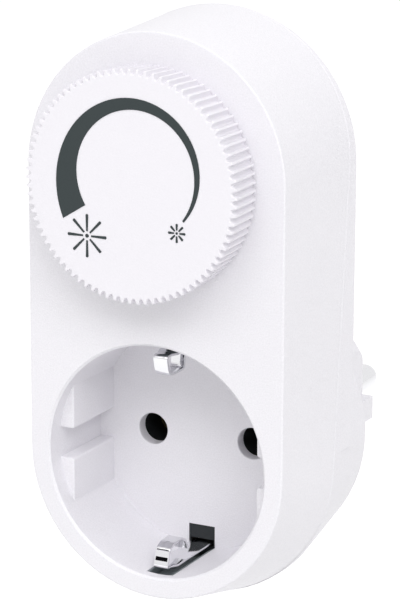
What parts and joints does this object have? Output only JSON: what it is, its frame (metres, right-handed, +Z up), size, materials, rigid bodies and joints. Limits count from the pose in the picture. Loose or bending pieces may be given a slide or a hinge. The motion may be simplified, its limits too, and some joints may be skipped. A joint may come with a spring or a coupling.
{
  "type": "plug-in lamp dimmer",
  "caption": "White plug-in dimmer: tall housing with a round earthed socket below, a knurled dimming knob with a printed brightness arc above and an earthed plug behind.",
  "frame": {"origin": "midway between the two plug pins, on the plug's end face", "axes": "+Y along the plug pins, into the wall socket; the front face and knob look along -Y; +Z up, from the socket to the knob; +X to the right seen from the front"},
  "size_m": [0.0496, 0.0748, 0.1008],
  "materials": {
    "shell_plastic": "satin moulded white plastic",
    "knob_plastic": "satin moulded white plastic, knurled",
    "print_ink": "dark grey pad print",
    "screw_steel": "zinc plated steel",
    "shaft_plastic": "moulded plastic",
    "contact_brass": "stamped brass",
    "nickel_plate": "nickel plated brass",
    "pot_plastic": "moulded dark plastic",
    "track_board": "resin board with a carbon track",
    "tinned_metal": "tinned metal",
    "board_resin": "glass fibre board with green solder mask",
    "triac_resin": "black moulding resin with a metal tab",
    "sink_aluminium": "bent sheet, plain",
    "ferrite": "sintered iron powder",
    "copper_wire": "enamelled copper wire",
    "red_box": "box capacitor case",
    "yellow_box": "box capacitor case",
    "blue_glass": "blue diode body",
    "resistor_film": "lacquered film resistor",
    "fuse_glass": "clear glass tube",
    "carrier_plastic": "black heat proof plastic",
    "brown_insulation": "brown wire insulation",
    "black_insulation": "black wire insulation"
  },
  "bodies": {
    "housing": {"front_housing": "shell_plastic", "rear_cover": "shell_plastic", "cover_screws": "screw_steel", "pot_housing": "pot_plastic", "pot_track": "track_board", "pot_terminals": "tinned_metal", "circuit_board": "board_resin", "board_screws": "screw_steel", "triac": "triac_resin", "heatsink": "sink_aluminium", "triac_screw": "screw_steel", "choke_core": "ferrite", "choke_winding": "copper_wire", "film_capacitor": "red_box", "timing_capacitor": "yellow_box", "diac": "blue_glass", "resistors": "resistor_film", "fuse_tube": "fuse_glass", "fuse_caps": "nickel_plate", "fuse_clips": "contact_brass", "line_plug_pin": "nickel_plate", "neutral_plug_pin": "nickel_plate", "line_socket_sleeve": "contact_brass", "neutral_socket_sleeve": "contact_brass", "neutral_link": "contact_brass", "contact_carrier": "carrier_plastic", "slot_linings": "carrier_plastic", "earth_bridge": "contact_brass", "plug_earth_contacts": "nickel_plate", "line_lead": "brown_insulation", "load_lead": "black_insulation"},
    "knob": {"knob": "knob_plastic", "knob_print": "print_ink", "pot_shaft": "shaft_plastic", "pot_wiper": "contact_brass"},
    "upper_clip": {"upper_earth_clip": "nickel_plate"},
    "lower_clip": {"lower_earth_clip": "nickel_plate"}
  },
  "joints": [
    {"name": "knob_turn", "type": "hinge", "parent": "housing", "child": "knob", "pos_m": [0, -0.0475, 0.0481], "axis": [0, 1, 0], "range_deg": [-135, 135]},
    {"name": "upper_clip_flex", "type": "hinge", "parent": "housing", "child": "upper_clip", "pos_m": [0, -0.0285, 0.0191], "axis": [-1, 0, 0], "range_deg": [0, 6], "stiffness_Nm_per_rad": 0.8},
    {"name": "lower_clip_flex", "type": "hinge", "parent": "housing", "child": "lower_clip", "pos_m": [0, -0.0285, -0.0191], "axis": [1, 0, 0], "range_deg": [0, 6], "stiffness_Nm_per_rad": 0.8}
  ]
}
